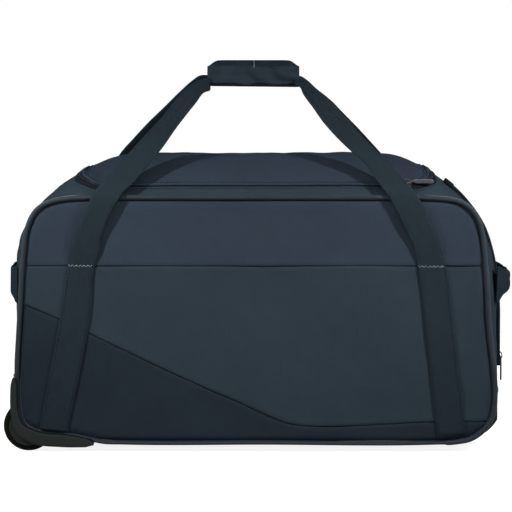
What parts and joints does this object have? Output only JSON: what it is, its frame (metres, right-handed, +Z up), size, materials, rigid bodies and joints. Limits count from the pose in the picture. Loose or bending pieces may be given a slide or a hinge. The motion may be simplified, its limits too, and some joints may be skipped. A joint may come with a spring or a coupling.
{
  "type": "rolling duffel bag",
  "caption": "Wheeled duffel bag with zipped domed lid, twin carry handles with padded grip, end haul handles and a telescopic tow handle.",
  "frame": {"origin": "on the floor under the middle of the object's overall box", "axes": "+X along the length towards the tow handle, +Y to the rear, +Z up"},
  "size_m": [0.698, 0.3486, 0.525],
  "materials": {
    "fabric_light": "woven polyester, fine ribbed weave",
    "fabric_body": "woven polyester, fine ribbed weave",
    "fabric_corner": "smooth coated polyester",
    "webbing": "herringbone webbing",
    "binding": "woven binding tape over cord",
    "lining": "thin lining cloth",
    "zip_tape": "coil zip tape",
    "zip_metal": "dark enamelled zinc",
    "housing_plastic": "fine moulded texture",
    "grip_plastic": "satin moulding",
    "tyre": "matt rubber",
    "tube_metal": "satin anodised",
    "steel": "bright",
    "board": "sheet"
  },
  "bodies": {
    "bag": {"front_upper_panel": "fabric_light", "front_pocket_panel": "fabric_body", "front_corner_panel": "fabric_corner", "rear_panel": "fabric_body", "front_pocket_lining": "lining", "pocket_zip_tape": "zip_tape", "front_piping": "binding", "rear_piping": "binding", "wheel_end_panel": "fabric_body", "handle_end_panel": "fabric_body", "base_panel": "fabric_corner", "front_top_strip": "fabric_body", "rear_top_strip": "fabric_body", "main_zip_tape": "zip_tape", "end_zip_tape": "zip_tape", "front_webbing": "webbing", "rear_webbing": "webbing", "haul_handle_wheel_end": "webbing", "haul_handle_tow_end": "webbing", "wheel_housing_front": "housing_plastic", "wheel_housing_rear": "housing_plastic", "axle_front": "steel", "axle_rear": "steel", "kick_plate": "housing_plastic", "base_board": "board", "base_ribs": "board", "base_screws": "steel", "skid_rail_front": "housing_plastic", "skid_rail_rear": "housing_plastic", "fixed_tubes": "tube_metal", "tube_foot_bracket": "housing_plastic", "tow_cup": "housing_plastic"},
    "lid": {"lid_panel": "fabric_light", "lid_zip_tape": "zip_tape"},
    "zip_slider": {"zip_slider": "zip_metal"},
    "zip_pull": {"zip_pull": "zip_metal"},
    "pocket_slider": {"pocket_slider": "zip_metal"},
    "end_slider": {"end_slider": "zip_metal"},
    "end_pull": {"end_pull": "zip_metal"},
    "front_handle": {"front_handle_strap": "webbing", "front_grip_pad": "fabric_body"},
    "rear_handle": {"rear_handle_strap": "webbing", "rear_grip_pad": "fabric_body"},
    "wheel_front": {"tyre_front": "tyre", "hub_front": "grip_plastic", "bearings_front": "steel"},
    "wheel_rear": {"tyre_rear": "tyre", "hub_rear": "grip_plastic", "bearings_rear": "steel"},
    "tow_mid": {"mid_tubes": "tube_metal", "mid_collars": "grip_plastic"},
    "tow_grip": {"inner_tubes": "tube_metal", "tow_grip": "grip_plastic", "lock_plugs": "grip_plastic"},
    "tow_button": {"tow_button": "housing_plastic", "push_rods": "steel"},
    "lock_pin_front": {"lock_pin_front": "steel"},
    "lock_pin_rear": {"lock_pin_rear": "steel"}
  },
  "joints": [
    {"name": "front_handle_fold", "type": "hinge", "parent": "bag", "child": "front_handle", "pos_m": [-0.0055, -0.17465, 0.35], "axis": [1, 0, 0], "range_deg": [0, 220]},
    {"name": "rear_handle_fold", "type": "hinge", "parent": "bag", "child": "rear_handle", "pos_m": [-0.0055, 0.17465, 0.35], "axis": [-1, 0, 0], "range_deg": [0, 220]},
    {"name": "lid_open", "type": "hinge", "parent": "bag", "child": "lid", "pos_m": [-0.0065, 0.1475, 0.3534], "axis": [-1, 0, 0], "range_deg": [0, 99]},
    {"name": "zip_slide", "type": "slide", "parent": "lid", "child": "zip_slider", "axis": [-1, 0, 0], "range_m": [0, 0.39]},
    {"name": "zip_pull_flip", "type": "hinge", "parent": "zip_slider", "child": "zip_pull", "pos_m": [0.201, -0.143, 0.36405], "axis": [0, -1, 0], "range_deg": [0, 100]},
    {"name": "pocket_zip_slide", "type": "slide", "parent": "bag", "child": "pocket_slider", "axis": [-1, 0, 0], "range_m": [0, 0.36]},
    {"name": "end_zip_slide", "type": "slide", "parent": "bag", "child": "end_slider", "axis": [0, 0, 1], "range_m": [0, 0.14]},
    {"name": "end_pull_flip", "type": "hinge", "parent": "end_slider", "child": "end_pull", "pos_m": [0.33606, -0.045, 0.115], "axis": [0, -1, 0], "range_deg": [0, 150]},
    {"name": "wheel_front_spin", "type": "hinge", "parent": "bag", "child": "wheel_front", "pos_m": [-0.3136, -0.1432, 0.034], "axis": [0, 1, 0], "continuous": true},
    {"name": "wheel_rear_spin", "type": "hinge", "parent": "bag", "child": "wheel_rear", "pos_m": [-0.3136, 0.1432, 0.034], "axis": [0, 1, 0], "continuous": true},
    {"name": "tow_lower_slide", "type": "slide", "parent": "bag", "child": "tow_mid", "axis": [1, 0, 0], "range_m": [0, 0.21]},
    {"name": "tow_upper_slide", "type": "slide", "parent": "tow_mid", "child": "tow_grip", "axis": [1, 0, 0], "range_m": [0, 0.21]},
    {"name": "tow_button_press", "type": "slide", "parent": "tow_grip", "child": "tow_button", "axis": [-1, 0, 0], "range_m": [0, 0.003], "stiffness_N_per_m": 900, "springref_m": -0.002},
    {"name": "lock_pin_front_retract", "type": "slide", "parent": "tow_grip", "child": "lock_pin_front", "axis": [0, 1, 0], "range_m": [0, 0.003]},
    {"name": "lock_pin_rear_retract", "type": "slide", "parent": "tow_grip", "child": "lock_pin_rear", "axis": [0, -1, 0], "range_m": [0, 0.003]}
  ],
  "couplings": [
    {"joint": "rear_handle_fold", "follows": "front_handle_fold", "ratio": 1},
    {"joint": "lid_open", "follows": "front_handle_fold", "ratio": 0.45},
    {"joint": "lock_pin_front_retract", "follows": "tow_button_press", "ratio": 1},
    {"joint": "lock_pin_rear_retract", "follows": "tow_button_press", "ratio": 1}
  ]
}
